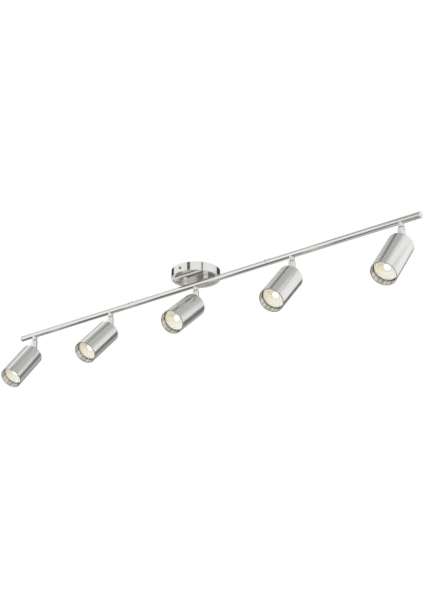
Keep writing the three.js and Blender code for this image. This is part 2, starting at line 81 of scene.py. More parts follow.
LAMP = dict(radius=25.3, recess=14.5, length=46, flange=3, step=1.4, shoulder=22, waist=31, neck=33,
            base=13.5, ribs=24, rib_depth=0.05)
SOCKET = dict(radius=14, length=20, chamfer=1.5, groove=4, groove_end=6, groove_depth=0.8)
PIN = dict(radius=2.35, neck=1.75, length=6.5, head=2.5, root=0.5, from_middle=5)
REFLECTOR = dict(rim=23.4, ring=9.6, depth=9.5, waist=7.3, wall=0.8, source=8.2, rise=1.5,
                 facets_round=28, facets_down=5, dimple=0.15)
TONGUE = dict(thickness=4.6, radius=6.4)
STIRRUP = dict(width=25, depth=12, thickness=1.6)
STRAP = dict(width=20, thickness=2, reach=55.2, depth=17, bend=4,
             slot_width=5, slot_length=14.6, slot_at=39.7)
TAB_HOLE = 1.9
GROUND_HOLE = 2.0

# Screws: the shank's radius and length, the head's radius and height.
CANOPY_SCREW = (1.6, 8, 3.2, 2.4)
GROUND_SCREW = (1.7, 2.0, 3.5, 2.2)
RAIL_SCREW = (1.5, 5.5, 2.8, 1.5)

# How far a joint turns either way: pan from square to the rail, tilt from straight down.
PAN_REACH = 175
TILT_REACH = 90

# The camera's heading and rise, its distance in metres, how far it stands right of and below the line to the
# rail's middle as shares of that distance, and its lens.
CAMERA = dict(heading=39.14, up=21.56, distance=2.6975, right=0.01428, down=0.01330, lens=96.43)
CAMERA_SIDE = CAMERA["heading"] - 90  # the compass angle of the camera as seen from the fixture

# Levels: the canopy's flat bottom in the fixture, then a spot's from its pivot, mouth downward.
UNDERSIDE = -CANOPY["height"] + CANOPY["dish"]
REAR = SHELL["rear"]
MOUTH = REAR - SHELL["length"]
REAR_INNER = REAR - SHELL["wall"]
FACE = MOUTH + LAMP["recess"]
LAMP_BACK = FACE + LAMP["length"]
SOCKET_FRONT = LAMP_BACK + GAP
SOCKET_BACK = SOCKET_FRONT + SOCKET["length"]


# ---- profiles and surfaces ----

def unit(vectors):
    return vectors / np.maximum(np.linalg.norm(vectors, axis=-1, keepdims=True), 1e-12)


def rounded(corners, closed=False, steps=6):
    """The profile through the corners, each eased by its fillet. A corner is radius, height, fillet, six
    and seat, where those that are left out are 0.

    One and two point from a corner to its neighbours, and half is half the angle between them. The
    fillet's centre lies fillet / sin(half) along their bisector, its arc starts and ends
    fillet / tan(half) along each side, and the arc turns evenly from the one radius to the other.
    The rows are radius, height, six, seat and edge. Edge is 1 on a fillet and 0 elsewhere."""
    rows = np.array([(*row, 0, 0, 0)[:5] for row in corners], float)
    point, fillet, rest = rows[:, :2], rows[:, 2].copy(), rows[:, 3:]
    if not closed:
        fillet[[0, -1]] = 0
    one = unit(np.roll(point, 1, 0) - point)
    two = unit(np.roll(point, -1, 0) - point)
    half = np.clip(np.arccos(np.clip((one * two).sum(1), -1, 1)) / 2, 0.05, math.pi / 2 - 1e-4)[:, None]
    fillet = fillet[:, None]
    back = fillet / np.tan(half)
    centre = point + unit(one + two) * fillet / np.sin(half)
    start, end = point + one * back, point + two * back
    share = np.linspace(0, 1, steps + 1)[None, :, None]
    sweep = (math.pi - 2 * half)[:, None]
    arc = np.sin((1 - share) * sweep) * (start - centre)[:, None]
    arc = (arc + np.sin(share * sweep) * (end - centre)[:, None]) / np.sin(sweep) + centre[:, None]
    path = np.concatenate([(start + one * back * 0.3)[:, None], arc, (end + two * back * 0.3)[:, None]], 1)
    edge = np.ones(path.shape[:2])
    edge[:, [0, -1]] = 0
    edge = edge * (fillet > 0)
    rest = np.repeat(rest[:, None], path.shape[1], 1)
    path = np.concatenate([path, rest, edge[..., None]], 2).reshape(-1, 5)
    apart = np.linalg.norm(np.diff(path[:, :2], axis=0), axis=1) > 1e-6
    path = path[np.concatenate([[True], apart])]
    return np.concatenate([path, path[:1]]) if closed else path


def turned(profile, columns=96, seat=None):
    """The profile carried round the Z axis: x = r cos a, y = r sin a, z = height.

    Where six is 1, r is drawn in to the hexagon that has its corners at r, as r cos 30 / cos(a mod 60 - 30).
    Where seat is 1, the height is seat(x, y) instead."""
    angle = (np.arange(columns + 1) % columns) * (2 * math.pi / columns)
    radius, height, six, on_seat, edge = (part[:, None] for part in profile.T)
    off_middle = np.radians(np.mod(np.degrees(angle), 60) - 30)
    radius = radius * (1 + six * (math.cos(math.pi / 6) / np.cos(off_middle) - 1))
    x, y = radius * np.cos(angle), radius * np.sin(angle)
    z = height + 0 * x
    if seat:
        z = np.where(on_seat > 0.5, seat(x, y), z)
    return np.stack([x, y, z], -1), edge + 0 * x


def curved(start, handle, end, count):
    """Points along a curve that leaves start towards handle and reaches end from it: at share s they are
    (1 - s)^2 start + 2 s (1 - s) handle + s^2 end. The shares come with them."""
    share = np.linspace(0, 1, count)[:, None]
    points = (1 - share) ** 2 * np.array(start) + 2 * share * (1 - share) * np.array(handle)
    return points + share ** 2 * np.array(end), share[:, 0]


def threaded(surface, radius, low, high, pitch, depth):
    """Points at that radius between two heights move in by depth times a wave that is 0 at a crest and 1
    at a root, of height / pitch less the turn, so that the crests run up as a helix."""
    points, edge = surface
    x, y, z = np.moveaxis(points, -1, 0)
    on_thread = (abs(np.hypot(x, y) - radius) < 1e-3) & (z > low) & (z < high)
    turn = np.arctan2(y, x) / (2 * math.pi)
    wave = abs(2 * np.mod(z / pitch - turn, 1) - 1)
    scale = 1 - on_thread * depth * wave / radius
    return np.stack([x * scale, y * scale, z], -1), edge


def block(x, y, z):
    """A plain box between the pairs x, y and z, as a closed strip with both its ends drawn to a point."""
    around = np.array([(0, 0), (1, 0), (1, 1), (0, 1), (0, 0)])
    xs, ys = np.array(x, float)[around[:, 0]], np.array(y, float)[around[:, 1]]
    middle = np.full(5, np.mean(x)), np.full(5, np.mean(y))
    rows = [(*middle, z[0]), (xs, ys, z[0]), (xs, ys, z[1]), (*middle, z[1])]
    points = np.stack([np.stack([a, b, np.full(5, float(c))], -1) for a, b, c in rows])
    return points, np.zeros(points.shape[:2])


def along(surface, axis):
    """A surface drawn about Z laid down so that its Z points along X or Y."""
    points, edge = surface
    x, y, z = np.moveaxis(points, -1, 0)
    laid = (z, y, -x) if axis == "X" else (x, z, -y)
    return np.stack(laid, -1), edge


def moved(surface, x=0.0, y=0.0, z=0.0):
    return surface[0] + np.array([x, y, z], float), surface[1]


def extruded(outline, low, high, bevel=0.3):
    """A plate raised from low to high on a closed outline (n, 2) whose middle sees all its points.

    Its rows are the middle, the outline drawn in by bevel, the outline, and the same again above."""
    middle = (outline.min(0) + outline.max(0)) / 2
    inset = outline - unit(outline - middle) * bevel
    rows = [(middle + 0 * outline, low, 0), (inset, low, 1), (outline, low + bevel, 1),
            (outline, high - bevel, 1), (inset, high, 1), (middle + 0 * outline, high, 0)]
    points = np.stack([np.column_stack([line, np.full(len(line), z)]) for line, z, _ in rows])
    edge = np.stack([np.full(len(outline), mark, float) for _, _, mark in rows])
    return points, edge


def welded(points, faces):
    """Points within a thousandth of a millimetre of each other become one, and a face drops each corner
    that this makes the same as the one before it."""
    _, first, index = np.unique(np.round(points * 1e3), axis=0, return_index=True, return_inverse=True)
    faces = index.reshape(-1)[faces]
    kept = faces != np.roll(faces, 1, 1)
    count = kept.sum(1)
    quads = faces[count == 4]
    triangles = faces[count == 3][kept[count == 3]].reshape(-1, 3)
    return points[first], first, quads, triangles


def closed_mesh(name, surface):
    """A surface's grid as a mesh in millimetres, its seams and poles welded and its faces outwards.

    The sum of a . (b x c) over the triangles is six times the enclosed volume, and its sign tells which
    way they face."""
    points, edge = surface
    rows, columns = points.shape[:2]
    at = np.arange(rows * columns).reshape(rows, columns)
    faces = np.stack([at[:-1, :-1], at[:-1, 1:], at[1:, 1:], at[1:, :-1]], -1).reshape(-1, 4)
    flat = points.reshape(-1, 3)
    kept, first, quads, triangles = welded(flat, faces)
    thirds = np.concatenate([quads[:, [0, 1, 2]], quads[:, [0, 2, 3]], triangles])
    a, b, c = (kept[thirds[:, i]] for i in range(3))
    if (a * np.cross(b, c)).sum() < 0:
        quads, triangles = quads[:, ::-1], triangles[:, ::-1]
    mesh = bpy.data.meshes.new(name)
    mesh.from_pydata(kept.tolist(), [], quads.tolist() + triangles.tolist())
    mesh.attributes.new("own", "FLOAT_VECTOR", "POINT").data.foreach_set("vector", kept.astype("f4").ravel())
    mesh.attributes.new("edge", "FLOAT", "POINT").data.foreach_set("value", edge.ravel()[first].astype("f4"))
    return mesh


def linked(name, data):
    """A new object in the scene that shows the data."""
    thing = bpy.data.objects.new(name, data)
    bpy.context.scene.collection.objects.link(thing)
    return thing


def cut_mesh(name, surface, cutters):
    """The surface's mesh less what the cutters, which are surfaces too, take away."""
    work = linked(name, closed_mesh(name, surface))
    tools = []
    for number, cutter in enumerate(cutters):
        tool = linked(f"{name}_tool_{number}", closed_mesh(f"{name}_tool_{number}", cutter))
        modifier = work.modifiers.new(f"tool_{number}", "BOOLEAN")
        modifier.operation, modifier.object, modifier.solver = "DIFFERENCE", tool, "EXACT"
        tools.append(tool)
    bpy.context.view_layer.update()
    mesh = bpy.data.meshes.new_from_object(work.evaluated_get(bpy.context.evaluated_depsgraph_get()))
    for gone in [work, *tools]:
        data = gone.data
        bpy.data.objects.remove(gone)
        bpy.data.meshes.remove(data)
    return mesh


def made(name, node, surface, finish, body, place=None, cut=()):
    """A finished piece in its place, which stands for a node: its surface less what is cut from it, smooth
    but for its sharp edges."""
    mesh = cut_mesh(name, surface, cut) if cut else closed_mesh(name, surface)
    mesh.name = name
    mesh.transform(Matrix.Scale(MM, 4) @ (place or Matrix.Identity(4)))
    mesh.polygons.foreach_set("use_smooth", np.ones(len(mesh.polygons), bool))
    mesh.set_sharp_from_angle(angle=math.radians(SHARP))
    mesh.materials.clear()
    mesh.materials.append(finish)
    thing = linked(name, mesh)
    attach(thing, body)
    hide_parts(node)


# ---- finishes ----

class Wire:
    """One output of a finish's nodes. Sums on it add Math nodes."""

    def __init__(self, finish, socket):
        self.finish, self.socket = finish, socket

    def math(self, operation, first, second=0.0):
        inputs = {0: first, 1: second}
        return self.finish.node("ShaderNodeMath", {"operation": operation}, inputs)

    def __add__(self, other): return self.math("ADD", self, other)
    def __radd__(self, other): return self.math("ADD", other, self)
    def __sub__(self, other): return self.math("SUBTRACT", self, other)
    def __rsub__(self, other): return self.math("SUBTRACT", other, self)
    def __mul__(self, other): return self.math("MULTIPLY", self, other)
    def __rmul__(self, other): return self.math("MULTIPLY", other, self)

    def clamped(self):
        return self.finish.node("ShaderNodeClamp", {}, {"Value": self})


class Finish:
    """A node tree being put together. Node adds any node: its settings first, then its sockets' values or
    links, and gives back one of its outputs."""

    def __init__(self, owner, output):
        owner.use_nodes = True
        self.owner, self.tree = owner, owner.node_tree
        self.tree.nodes.clear()
        self.output = self.tree.nodes.new(output)

    def node(self, kind, settings=None, inputs=None, output=0):
        node = self.tree.nodes.new(kind)
        for name, value in (settings or {}).items():
            if name == "stops":
                ramp = node.color_ramp.elements
                while len(ramp) < len(value):
                    ramp.new(0.5)
                for stop, (position, colour) in zip(ramp, value):
                    stop.position, stop.color = position, (*colour, 1)
            else:
                setattr(node, name, value)
        for name, value in (inputs or {}).items():
            if isinstance(value, Wire):
                self.tree.links.new(value.socket, node.inputs[name])
            else:
                node.inputs[name].default_value = value
        return Wire(self, node.outputs[output])

    def surface(self, wire):
        self.tree.links.new(wire.socket, self.output.inputs["Surface"])
        return self.owner

    # Patterns, all in millimetres.

    def own(self):
        """The place on the piece as it was drawn, upright about its own axis."""
        return self.node("ShaderNodeAttribute", {"attribute_name": "own"}, {}, "Vector")

    def here(self):
        """The place in the whole fixture."""
        return self.stretched(self.object(), (1 / MM, 1 / MM, 1 / MM))

    def object(self):
        """The same in metres."""
        return self.node("ShaderNodeTexCoord", {}, {}, "Object")

    def edge(self):
        return self.node("ShaderNodeAttribute", {"attribute_name": "edge"}, {}, "Fac")

    def from_axis(self):
        flat = self.stretched(self.own(), (1, 1, 0))
        return self.node("ShaderNodeVectorMath", {"operation": "LENGTH"}, {0: flat}, 1)

    def part(self, place, axis):
        return self.node("ShaderNodeSeparateXYZ", {}, {"Vector": place}, axis)

    def stretched(self, place, by):
        return self.node("ShaderNodeVectorMath", {"operation": "MULTIPLY"}, {0: place, 1: by})

    def noise(self, place, scale, detail=3.0, rough=0.5):
        inputs = {"Vector": place, "Scale": scale, "Detail": detail, "Roughness": rough}
        return self.node("ShaderNodeTexNoise", {}, inputs, "Fac")

    def between(self, wire, low, high):
        """0 where the wire is at low and 1 where it is at high, which may be the lesser of the two."""
        inputs = {"Value": wire, "From Min": low, "From Max": high}
        return self.node("ShaderNodeMapRange", {"interpolation_type": "SMOOTHSTEP"}, inputs)

    def mixed(self, share, one, two):
        inputs = {0: share, 6: one, 7: two}
        return self.node("ShaderNodeMix", {"data_type": "RGBA"}, inputs, 2)

    def bump(self, height, strength, distance):
        inputs = {"Height": height, "Strength": strength, "Distance": distance * MM}
        return self.node("ShaderNodeBump", {}, inputs)

    def coat(self, **sockets):
        """Ends the finish with one Principled shader. A socket's spaces are written as underscores."""
        named = {name.replace("_", " "): value for name, value in sockets.items()}
        return self.surface(self.node("ShaderNodeBsdfPrincipled", {}, named))


def rgb(*parts):
    return (*parts, 1.0)


def material(name):
    return Finish(bpy.data.materials.new(name), "ShaderNodeOutputMaterial")


def polished_nickel(name, roughness=0.07, shade=1.0):
    """Nickel plate: faint clouds in its colour, handling marks in its gloss, a slight ripple."""
    f = material(name)
    clouds = f.noise(f.here(), 0.05, 2)
    marks = f.between(f.noise(f.here(), 0.35, 5, 0.6), 0.45, 0.75)
    ripple = f.noise(f.here(), 0.9, 1)
    light, dark, worn = [rgb(*np.multiply(tone, shade)) for tone in
                         ((0.80, 0.79, 0.765), (0.76, 0.75, 0.73), (0.84, 0.83, 0.81))]
    colour = f.mixed(f.between(clouds, 0.3, 0.7), light, dark)
    colour = f.mixed(f.edge() * 0.5, colour, worn)
    rough = roughness + marks * 0.05 + f.edge() * 0.04
    return f.coat(Base_Color=colour, Metallic=1.0, Roughness=rough,
                  Normal=f.bump(ripple, 0.05, 0.05))


def brushed_nickel(name, roughness, strength, bore=0.0):
    """Nickel over brushed grain: fine streaks that run along the piece. A piece with a bore is a cylinder:
    its closed end is brushed in rings, and inside the bore's radius the metal is duller and streaked light
    and dark, brushing grain with a painted reflection in its colour."""
    f = material(name)
    fine = f.noise(f.stretched(f.own(), (0.9, 0.9, 0.02)), 1.0, 3, 0.6)
    broad = f.noise(f.stretched(f.own(), (0.25, 0.25, 0.006)), 1.0, 2)
    clouds = f.noise(f.own(), 0.03, 2)
    marks = f.between(f.noise(f.own(), 0.2, 5, 0.6), 0.5, 0.8)
    grain = f.between(fine * 0.6 + broad * 0.4, 0.35, 0.65)
    if bore:
        end = f.between(f.part(f.own(), "Z"), REAR - 1.3, REAR - 0.7)
        rings = f.noise(f.node("ShaderNodeCombineXYZ", {}, {"X": f.from_axis()}), 0.9, 3, 0.6)
        grain = grain + end * (f.between(rings, 0.35, 0.65) - grain)
    colour = f.mixed(grain, rgb(0.765, 0.76, 0.74), rgb(0.81, 0.805, 0.79))
    colour = f.mixed(f.between(clouds, 0.35, 0.65) * 0.2, colour, rgb(0.74, 0.735, 0.715))
    colour = f.mixed(f.edge() * 0.4, colour, rgb(0.83, 0.82, 0.80))
    rough = roughness + grain * 0.04 + marks * 0.03
    metal = 1.0
    if bore:
        inside = f.between(f.from_axis(), bore + 0.5, bore + 0.1) * (1.0 - end)
        # inside the bore: brushing streaks whose near-white and dark colours are a painted reflection
        streaks = f.between(f.noise(f.stretched(f.own(), (0.10, 0.10, 0.004)), 1.0, 2), 0.38, 0.62)
        drawn = f.mixed(streaks, rgb(0.42, 0.415, 0.40), rgb(0.97, 0.97, 0.96))
        colour = f.mixed(inside, colour, drawn)
        rough = rough + inside * 0.15
        metal = 1.0 - inside * 0.2
    return f.coat(Base_Color=colour, Metallic=metal, Roughness=rough,
                  Normal=f.bump(grain, strength, 0.02))


def zinc(name):
    """Dull zinc plate with the small crystals of its coat."""
    f = material(name)
    cells = f.node("ShaderNodeTexVoronoi", {"feature": "F1"}, {"Vector": f.here(), "Scale": 0.45}, "Color")
    tone = f.node("ShaderNodeSeparateColor", {}, {"Color": cells})
    marks = f.noise(f.here(), 0.3, 5, 0.6)
    colour = f.mixed(tone, rgb(0.52, 0.53, 0.545), rgb(0.66, 0.67, 0.68))
    colour = f.mixed(f.between(marks, 0.5, 0.8) * 0.5, colour, rgb(0.48, 0.48, 0.47))
    rough = 0.34 + tone * 0.10 + marks * 0.08
    return f.coat(Base_Color=colour, Metallic=1.0, Roughness=rough,
                  Normal=f.bump(marks, 0.15, 0.05))


def green_plate():
    """Green dyed plate, thinner on its edges."""
    f = material("ground_screw_green")
    marks = f.noise(f.here(), 0.8, 4, 0.6)
    worn = (f.edge() * f.between(marks, 0.4, 0.6)).clamped()
    colour = f.mixed(marks, rgb(0.06, 0.26, 0.11), rgb(0.11, 0.36, 0.17))
    colour = f.mixed(worn, colour, rgb(0.55, 0.55, 0.50))
    return f.coat(Base_Color=colour, Metallic=0.8, Roughness=0.32 + marks * 0.1,
                  Normal=f.bump(marks, 0.1, 0.03))


def ceramic():
    """Unglazed white ceramic: a faintly speckled, slightly pitted body."""
    f = material("socket_ceramic")
    cloud = f.noise(f.here(), 0.12, 3)
    specks = f.between(f.noise(f.here(), 2.2, 2), 0.68, 0.74)
    colour = f.mixed(cloud, rgb(0.84, 0.82, 0.77), rgb(0.79, 0.77, 0.71))
    colour = f.mixed(specks * 0.5, colour, rgb(0.55, 0.50, 0.42))
    return f.coat(Base_Color=colour, Roughness=0.5 + cloud * 0.15,
                  Normal=f.bump(f.noise(f.here(), 1.6, 4), 0.25, 0.08))


def lamp_white():
    """The lamp's white moulded housing, satin and finely textured. Near the lens it has a painted glow."""
    f = material("lamp_housing_white")
    by_lens = f.between(f.part(f.own(), "Z"), FACE + 9, FACE + 2)
    # painted glow: the housing's own emission makes it shine near the lens
    painted_glow = f.mixed(by_lens, rgb(0, 0, 0), rgb(0.62, 0.56, 0.42))
    cloud = f.noise(f.own(), 0.1, 3)
    colour = f.mixed(cloud, rgb(0.86, 0.85, 0.82), rgb(0.80, 0.79, 0.75))
    return f.coat(Base_Color=colour, Roughness=0.32 + cloud * 0.12,
                  Emission_Color=painted_glow, Emission_Strength=0.4,
                  Normal=f.bump(f.noise(f.own(), 2.5, 2), 0.12, 0.04))


def reflector_glow():
    """The lit dish: warm cream, with a painted highlight that whitens it towards one side, and darker patches
    round its middle, more of them towards its low side.
    """
    f = material("reflector_lit_cream")
    y, radius = f.part(f.own(), "Y"), f.from_axis()
    cloud = f.noise(f.own(), 0.16, 3, 0.6)
    low_side = f.between(y, 2.0, -14.0)
    patch = f.between(cloud + low_side * 0.16, 0.56, 0.68) * f.between(radius, 20.0, 12.0)
    # painted highlight: the dish whitens from cream towards its high side
    colour = f.mixed(f.between(y, -16.0, 16.0), rgb(0.80, 0.72, 0.54), rgb(1.0, 0.985, 0.93))
    colour = f.mixed(f.between(cloud, 0.35, 0.65) * 0.35, colour, rgb(0.86, 0.80, 0.66))
    colour = f.mixed(patch * 0.6, colour, rgb(0.42, 0.35, 0.15))
    colour = f.mixed(f.between(radius, 10.4, 9.6), colour, rgb(0.58, 0.57, 0.52))
    return f.coat(Base_Color=rgb(0.42, 0.395, 0.33), Metallic=0.0, Roughness=0.3,
                  Emission_Color=colour, Emission_Strength=0.72,
                  Normal=f.bump(cloud, 0.1, 0.1))


def source_glow():
    """The light source: white, a little cooler at its rim."""
    f = material("lamp_source_lit_white")
    colour = f.mixed(f.between(f.from_axis(), 6.4, 8.4), rgb(1.0, 0.99, 0.95), rgb(0.80, 0.79, 0.74))
    return f.coat(Base_Color=rgb(0.3, 0.3, 0.29), Roughness=0.4,
                  Emission_Color=colour, Emission_Strength=1.1)


def lens_glass():
    """Clear moulded glass with a faint swirl in its gloss."""
    f = material("lens_clear_glass")
    swirl = f.noise(f.own(), 0.2, 3)
    return f.coat(Base_Color=rgb(0.98, 0.98, 0.95), Transmission_Weight=1.0, IOR=1.45,
                  Roughness=0.01 + swirl * 0.02, Normal=f.bump(swirl, 0.02, 0.1))


NICKEL = polished_nickel("polished_nickel")
STEM_NICKEL = polished_nickel("stem_polished_nickel", 0.15)
SCREW_NICKEL = polished_nickel("canopy_screw_dull_nickel", 0.28, 0.4)
RAIL_NICKEL = brushed_nickel("rail_brushed_nickel", 0.10, 0.03)
SHELL_NICKEL = brushed_nickel("cylinder_brushed_nickel", 0.15, 0.03, SHELL["radius"] - SHELL["wall"])
ZINC = zinc("zinc_plate")
GREEN = green_plate()
CERAMIC = ceramic()
HOUSING = lamp_white()
CREAM = reflector_glow()
SOURCE = source_glow()
GLASS = lens_glass()


# ---- places ----

def box_mm(node):
    low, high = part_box(node)
    return np.array(low) / MM, np.array(high) / MM


def middle_mm(node):
    low, high = box_mm(node)
    return (low + high) / 2


JOINTS = {joint["name"]: joint for joint in frame["joints"]}
RAIL_AXIS = middle_mm("rail_center")[2]
PIVOT_DROP = RAIL_AXIS - JOINTS["spot_1_tilt"]["pos_m"][2] / MM
SEAT = RAIL["radius"] + GAP


def shift(x=0.0, y=0.0, z=0.0):
    return Matrix.Translation((x, y, z))


def turn(degrees, axis):
    return Matrix.Rotation(math.radians(degrees), 4, axis)


# ---- shapes of the ceiling end ----

def screw(shank, length, head, height, recess=0.55):
    """A domed screw hanging head down: a hexagon socket in the dome, the head's underside at z = 0."""
    deep = height * recess
    key = head * 0.36
    return turned(rounded([
        (0, -height + deep), (key, -height + deep, 0, 1), (key, -height, 0.08, 1),
        (head * 0.62, -height * 0.96, 0.4), (head, -height * 0.45, 0.5), (head, 0, 0.12),
        (shank, 0), (shank, length - 0.4), (shank - 0.4, length), (0, length),
    ]), 60)


def round_hole(radius, low, high, columns=40):
    """A cutter for a round hole, upright about Z."""
    return turned(rounded([
        (0, low), (radius, low), (radius, high), (0, high),
    ]), columns)


def saddle_foot(spigot, radius, level):
    """The corners of a flat that is drawn on to the rail's curve, from a spigot out to a body's wall."""
    return [(r, level, 0, 0, 1) for r in np.linspace(spigot, radius - 0.2, SADDLE["steps"])]


def canopy_shape():
    """A drawn pan, open above, its flat bottom dished up a little inside a sloping rim."""
    radius, wall, edge, bottom = CANOPY["radius"], CANOPY["wall"], CANOPY["edge"], -CANOPY["height"]
    flat = radius - CANOPY["rim"]
    profile = rounded([
        (0, UNDERSIDE), (flat, UNDERSIDE, 1.0), (radius, bottom, edge),
        (radius, 0, 0.3), (radius - wall, 0, 0.3), (radius - wall, bottom + wall, 0.4),
        (flat, UNDERSIDE + wall, 1.5), (0, UNDERSIDE + wall),
    ], steps=8)
    hole = round_hole(POST["nipple"] + GAP, bottom - PAST, bottom + wall + CANOPY["dish"] + PAST, 48)
    bore = round_hole(TAB_HOLE, -radius - PAST, radius + PAST, 32)
    post = middle_mm("post_right")[0]
    cuts = [moved(hole, post), moved(hole, -post), moved(along(bore, "Y"), z=-CANOPY["screw_depth"])]
    return turned(profile, 192), cuts


def post_shape():
    """A hollow post: threaded nipple above, plain body, saddle on the rail, spigot down into it."""
    radius, nipple, bore, spigot, top = (POST[k] for k in ("radius", "nipple", "bore", "spigot", "top"))
    shoulder = UNDERSIDE - GAP
    low = RAIL_AXIS + RAIL["bore"] - SADDLE["spigot"]
    foot = RAIL_AXIS + SADDLE["height"]
    thread = np.linspace(shoulder + 0.2, top - 0.5, 70)
    profile = rounded([
        (bore, low), (spigot, low, 0.3), *saddle_foot(spigot, radius, foot),
        (radius, foot + 0.2, 0, 0, 1), (radius, shoulder, 0.35), (nipple, shoulder),
        *[(nipple, z) for z in thread], (nipple - 0.5, top), (bore, top, 0.2),
    ], closed=True)
    surface = turned(profile, 64, lambda x, y: RAIL_AXIS + np.sqrt(SEAT ** 2 - y ** 2))
    return threaded(surface, nipple, shoulder + 0.1, top - 0.4, POST["pitch"], POST["thread"])


def nut_shape():
    """A hexagon nut, its corners eased by a cone above and below."""
    corner_radius = NUT["across_flats"] / math.sqrt(3)
    flat_radius = NUT["across_flats"] / 2
    low = UNDERSIDE + CANOPY["wall"] + GAP
    high = low + NUT["thickness"]
    bore, ease = POST["nipple"] + GAP, NUT["ease"]
    return turned(rounded([
        (bore, low + 0.5), (bore + 0.5, low), (flat_radius - 0.3, low),
        (corner_radius, low + ease, 0, 1), (corner_radius, high - ease, 0, 1),
        (flat_radius - 0.3, high), (bore + 0.5, high), (bore, high - 0.5),
    ], closed=True), 72)


def strap_shape():
    """The crossbar: a flat section carried along a line that turns down at both ends.

    The line lies midway in the strap's thickness, and each of its points carries the section along X and
    along the line's own normal."""
    reach, depth, thickness = STRAP["reach"], STRAP["depth"], STRAP["thickness"]
    half = thickness / 2
    out = reach - half
    line = rounded([(-out, -depth), (-out, -half, STRAP["bend"] - half),
                    (out, -half, STRAP["bend"] - half), (out, -depth)], steps=10)[:, :2]
    ahead = unit(np.gradient(line, axis=0))
    normal = np.stack([-ahead[:, 1], ahead[:, 0]], 1)
    wide = STRAP["width"] / 2
    section = np.array([
        (-wide + EASE, -half), (wide - EASE, -half), (wide, -half + EASE),
        (wide, half - EASE), (wide - EASE, half), (-wide + EASE, half),
        (-wide, half - EASE), (-wide, -half + EASE), (-wide + EASE, -half),
    ])
    scale = np.ones(len(line) + 2)
    scale[[0, -1]] = 0
    line, normal = (np.concatenate([a[:1], a, a[-1:]]) for a in (line, normal))
    across = section[None, :, 1, None] * normal[:, None] * scale[:, None, None]
    along_x = section[None, :, :1] * scale[:, None, None]
    points = np.concatenate([along_x, line[:, None] + across], 2)
    return points, np.zeros(points.shape[:2])


def strap_cuts():
    """Two long slots for the ceiling box's screws, the tabs' screw holes and the ground screw's hole.

    A slot is a circle whose two halves are moved apart along Y."""
    angle = np.linspace(0, 2 * math.pi, 49)
    radius = STRAP["slot_width"] / 2
    half = STRAP["slot_length"] / 2 - radius
    side = np.sign(np.round(np.sin(angle), 9))
    slot = np.stack([radius * np.cos(angle), radius * np.sin(angle) + half * side], 1)
    slot[-1] = slot[0]
    low, high, far = -STRAP["thickness"] - PAST, PAST, STRAP["reach"] + PAST
    cutter = extruded(slot, low, high, 0.0)
    tab = along(round_hole(TAB_HOLE, -far, far), "Y")
    ground = middle_mm("ground_screw")
    ground_hole = moved(round_hole(GROUND_HOLE, low, high), ground[0], ground[1])
    return [moved(cutter, y=STRAP["slot_at"]), moved(cutter, y=-STRAP["slot_at"]),
            moved(tab, z=-CANOPY["screw_depth"]), ground_hole]


# ---- shapes of the rail, drawn upright about Z ----

def tube_shape(low, high):
    return turned(rounded([(RAIL["bore"], low, EASE), (RAIL["radius"], low, EASE),
                           (RAIL["radius"], high, EASE), (RAIL["bore"], high, EASE)],
                          closed=True, steps=4), 96)


def cap_shape():
    """The rail's end plug, its flange above z = 0 and its spigot below."""
    spigot, low = RAIL["bore"] - GAP, -CAP["spigot"]
    radius, high = CAP["radius"], CAP["thickness"]
    return turned(rounded([
        (0, low), (spigot, low, 0.5), (spigot, 0),
        (radius, 0, 0.2), (radius, high, 0.8), (0, high),
    ]), 96)


# ---- shapes of the stem, drawn with z = 0 on the rail's axis ----

def collar_shape():
    """The collar, saddled to the rail, with its hollow spigot up into the rail and down to its rivet."""
    radius, bottom, spigot, bore = (COLLAR[k] for k in ("radius", "bottom", "spigot", "bore"))
    top, foot = -RAIL["bore"] + SADDLE["spigot"], -SADDLE["height"]
    rivet = RIVET["seat"] - GAP
    rivet_end = rivet - RIVET["thickness"]
    profile = rounded([
        (bore, top), (spigot, top, 0.2), *saddle_foot(spigot, radius, foot),
        (radius, foot - 0.2, 0, 0, 1), (radius, bottom, 0.35), (spigot, bottom),
        (spigot, rivet), (RIVET["radius"], rivet, 0.3), (RIVET["radius"], rivet_end, 0.6),
        (bore, rivet_end, 0.2),
    ], closed=True)
    return turned(profile, 96, lambda x, y: -np.sqrt(SEAT ** 2 - y ** 2))


def fork_shape():
    """The barrel: a narrow neck, a rounded shoulder, and a lower end rounded about the tilt pivot.

    Below, the wall at a point (x, y) of the circle ends at the pivot's height less |x|, which is a half
    round seen along X, and the end runs straight in along X from there."""
    radius, neck = FORK["radius"], FORK["neck"]
    top = COLLAR["bottom"] - GAP
    shoulder = top - FORK["groove"]
    profile = rounded([(0, top), (neck, top, 0.2), (neck, shoulder),
                       (radius, shoulder, FORK["shoulder"]),
                       (radius, -PIVOT_DROP + FORK["barrel_end"])], steps=10)
    points, edge = turned(profile, 144)
    rim = points[-1:]
    share = np.linspace(0, 1, 9)[:, None]
    x, y = rim[..., 0], rim[..., 1]
    wall_end = -PIVOT_DROP - abs(x)
    wall = np.stack([x + 0 * share, y + 0 * share, rim[..., 2] * (1 - share) + wall_end * share], -1)
    under = np.stack([x * (1 - share), y + 0 * share, wall_end + 0 * share], -1)
    points = np.concatenate([points, wall[1:], under[1:]])
    return points, np.concatenate([edge, np.zeros((len(points) - len(edge), edge.shape[1]))])


